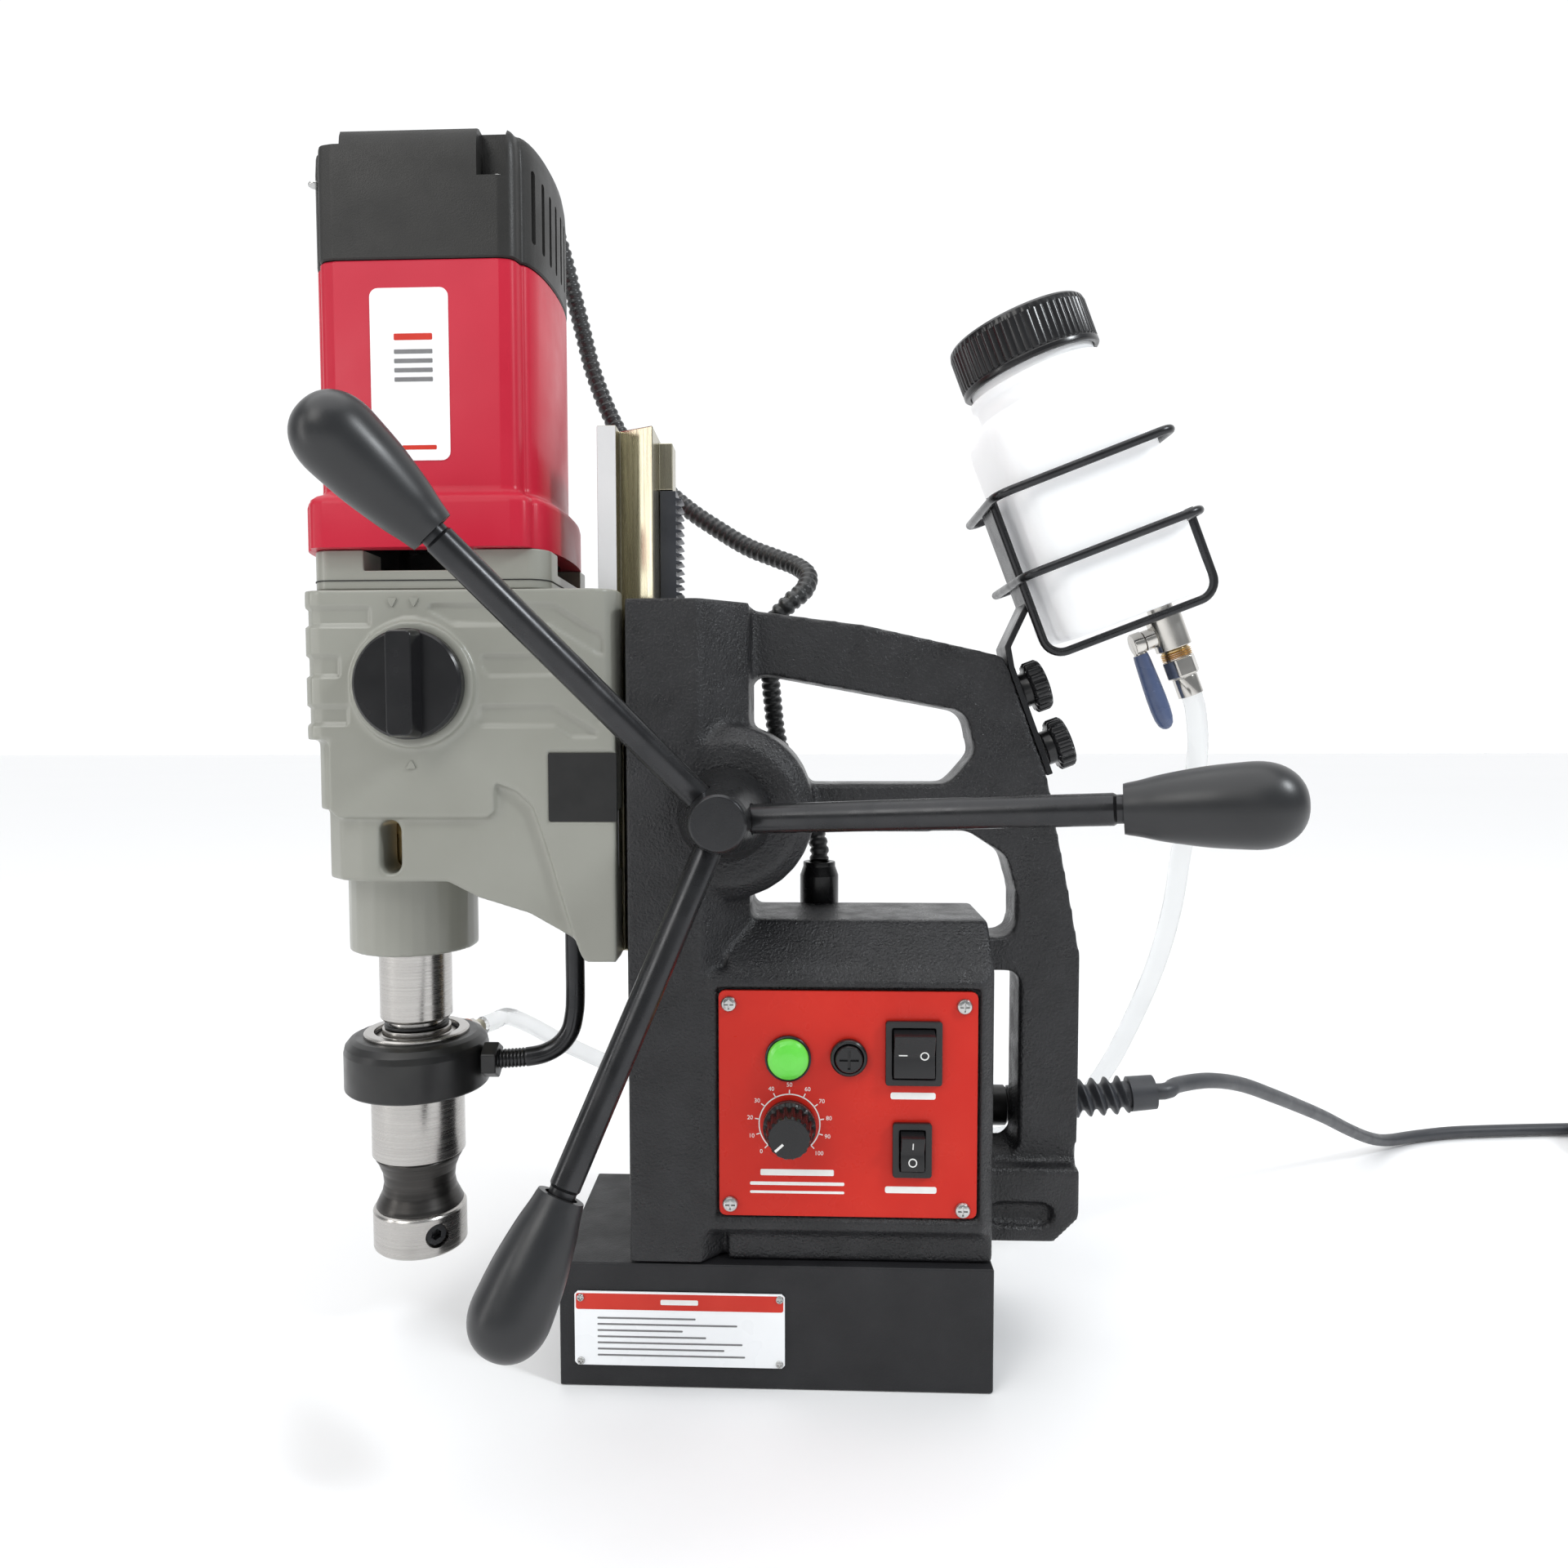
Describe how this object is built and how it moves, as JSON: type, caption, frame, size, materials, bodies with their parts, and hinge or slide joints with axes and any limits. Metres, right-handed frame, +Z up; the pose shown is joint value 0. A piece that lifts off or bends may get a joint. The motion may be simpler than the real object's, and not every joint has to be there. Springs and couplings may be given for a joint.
{
  "type": "magnetic drill press",
  "caption": "Portable drilling machine: a vertical motor and gearbox slide on a cast stand by a spoked hand feed, over an electromagnet foot, with a coolant bottle.",
  "frame": {"origin": "centre of the magnet foot's bottom face, which sits on the workpiece", "axes": "+Z up along the slide; +X from the spindle past the column to the carrying handle; -Y towards the operator and the control panel"},
  "size_m": [0.7657, 0.3729, 0.5135],
  "materials": {
    "casting_black": "matte",
    "magnet_black": "satin",
    "winding_copper": "satin",
    "potting_black": "matte",
    "machined_steel": "satin",
    "polished_steel": "polished",
    "bearing_brass": "satin",
    "panel_red": "satin",
    "black_plastic": "satin",
    "rocker_plastic": "gloss",
    "knob_black": "gloss",
    "blackened_steel": "satin",
    "ring_black": "satin",
    "lens_green": "gloss",
    "board_green": "matte",
    "label_metal": "satin",
    "lead_rubber": "satin",
    "conduit_black": "satin",
    "gearbox_grey": "satin",
    "motor_red": "satin",
    "bottle_white": "satin",
    "hose_clear": "gloss",
    "valve_nickel": "polished",
    "lever_blue": "satin"
  },
  "bodies": {
    "stand": {"magnet_base": "magnet_black", "magnet_coil": "winding_copper", "magnet_potting": "potting_black", "stand_casting": "casting_black", "gib_strip": "bearing_brass", "feed_bush": "bearing_brass", "control_panel": "panel_red", "pilot_lamp_bezel": "black_plastic", "pilot_lamp_lens": "lens_green", "fuse_holder": "black_plastic", "motor_switch_body": "black_plastic", "magnet_switch_body": "black_plastic", "speed_potentiometer": "machined_steel", "control_board": "board_green", "label_plate": "label_metal", "mains_gland": "bearing_brass", "strain_relief": "lead_rubber", "mains_cord": "lead_rubber", "mains_coil": "lead_rubber", "mains_plug": "lead_rubber", "conduit_gland": "black_plastic", "motor_conduit": "conduit_black", "bottle_bracket": "blackened_steel", "wire_cage": "blackened_steel", "coolant_bottle": "bottle_white", "valve_body": "valve_nickel", "coolant_hose": "hose_clear"},
    "carriage": {"slide_bar": "machined_steel", "feed_rack": "blackened_steel", "gearbox_housing": "gearbox_grey", "motor_flange": "gearbox_grey", "motor_housing": "motor_red", "motor_cap": "black_plastic", "motor_stator": "machined_steel", "coolant_ring": "ring_black", "stay_rod": "blackened_steel", "spindle_bearing": "bearing_brass"},
    "capstan": {"capstan_hub": "blackened_steel", "pinion_shaft": "machined_steel", "capstan_rod_1": "blackened_steel", "capstan_rod_2": "blackened_steel", "capstan_rod_3": "blackened_steel", "capstan_knob_1": "knob_black", "capstan_knob_2": "knob_black", "capstan_knob_3": "knob_black"},
    "spindle_group": {"spindle": "polished_steel", "spindle_gear": "machined_steel", "arbor": "polished_steel"},
    "layshaft_group": {"layshaft": "machined_steel"},
    "armature_group": {"armature": "machined_steel", "cooling_fan": "black_plastic"},
    "selector": {"gear_selector": "black_plastic"},
    "motor_rocker_button": {"motor_rocker": "rocker_plastic"},
    "magnet_rocker_button": {"magnet_rocker": "rocker_plastic"},
    "speed_dial": {"speed_knob": "black_plastic"},
    "fuse_drawer": {"fuse_cap": "black_plastic"},
    "cap_of_bottle": {"bottle_cap": "black_plastic"},
    "valve_handle": {"valve_lever": "lever_blue"},
    "upper_screw": {"thumb_screw_upper": "black_plastic"},
    "lower_screw": {"thumb_screw_lower": "black_plastic"}
  },
  "joints": [
    {"name": "carriage_slide", "type": "slide", "parent": "stand", "child": "carriage", "axis": [0, 0, 1], "range_m": [-0.03, 0.065], "deforming": ["motor_conduit", "coolant_hose"]},
    {"name": "capstan_turn", "type": "hinge", "parent": "stand", "child": "capstan", "pos_m": [-0.0183, 0, 0.2225], "axis": [0, 1, 0], "range_deg": [-88, 187]},
    {"name": "spindle_spin", "type": "hinge", "parent": "carriage", "child": "spindle_group", "pos_m": [-0.1523, 0, 0], "axis": [0, 0, 1], "continuous": true},
    {"name": "layshaft_spin", "type": "hinge", "parent": "carriage", "child": "layshaft_group", "pos_m": [-0.1383, 0.01825, 0], "axis": [0, 0, 1], "continuous": true},
    {"name": "armature_spin", "type": "hinge", "parent": "carriage", "child": "armature_group", "pos_m": [-0.133, 0, 0], "axis": [0, 0, 1], "continuous": true},
    {"name": "gear_selector_turn", "type": "hinge", "parent": "carriage", "child": "selector", "pos_m": [-0.136, -0.045, 0.2713], "axis": [0, 1, 0], "range_deg": [0, 180]},
    {"name": "motor_rocker_tilt", "type": "hinge", "parent": "stand", "child": "motor_rocker_button", "pos_m": [0.05245, -0.0425, 0.1321], "axis": [1, 0, 0], "range_deg": [-18, 0]},
    {"name": "magnet_rocker_tilt", "type": "hinge", "parent": "stand", "child": "magnet_rocker_button", "pos_m": [0.052, -0.0425, 0.0949], "axis": [1, 0, 0], "range_deg": [-18, 0]},
    {"name": "speed_knob_turn", "type": "hinge", "parent": "stand", "child": "speed_dial", "pos_m": [0.0056, -0.042, 0.1039], "axis": [0, 1, 0], "range_deg": [0, 300]},
    {"name": "fuse_cap_turn", "type": "hinge", "parent": "stand", "child": "fuse_drawer", "pos_m": [0.028, -0.0425, 0.1303], "axis": [0, 1, 0], "range_deg": [0, 90]},
    {"name": "bottle_cap_lift", "type": "slide", "parent": "stand", "child": "cap_of_bottle", "axis": [-0.3551, 0, 0.9348], "range_m": [0, 0.03]},
    {"name": "valve_lever_turn", "type": "hinge", "parent": "stand", "child": "valve_handle", "pos_m": [0.15826, 0, 0.29273], "axis": [0.9348, 0, 0.3551], "range_deg": [0, 90]},
    {"name": "thumb_screw_upper_turn", "type": "hinge", "parent": "stand", "child": "upper_screw", "pos_m": [0.1056, 0, 0.2713], "axis": [0.9382, 0, 0.3461], "range_deg": [0, 360]},
    {"name": "thumb_screw_lower_turn", "type": "hinge", "parent": "stand", "child": "lower_screw", "pos_m": [0.1152, 0, 0.2481], "axis": [0.9382, 0, 0.3461], "range_deg": [0, 360]}
  ],
  "couplings": [
    {"joint": "capstan_turn", "follows": "carriage_slide", "rad_per_m": 48.781},
    {"joint": "layshaft_spin", "follows": "spindle_spin", "ratio": -2.2857},
    {"joint": "armature_spin", "follows": "spindle_spin", "ratio": 8.5714}
  ]
}
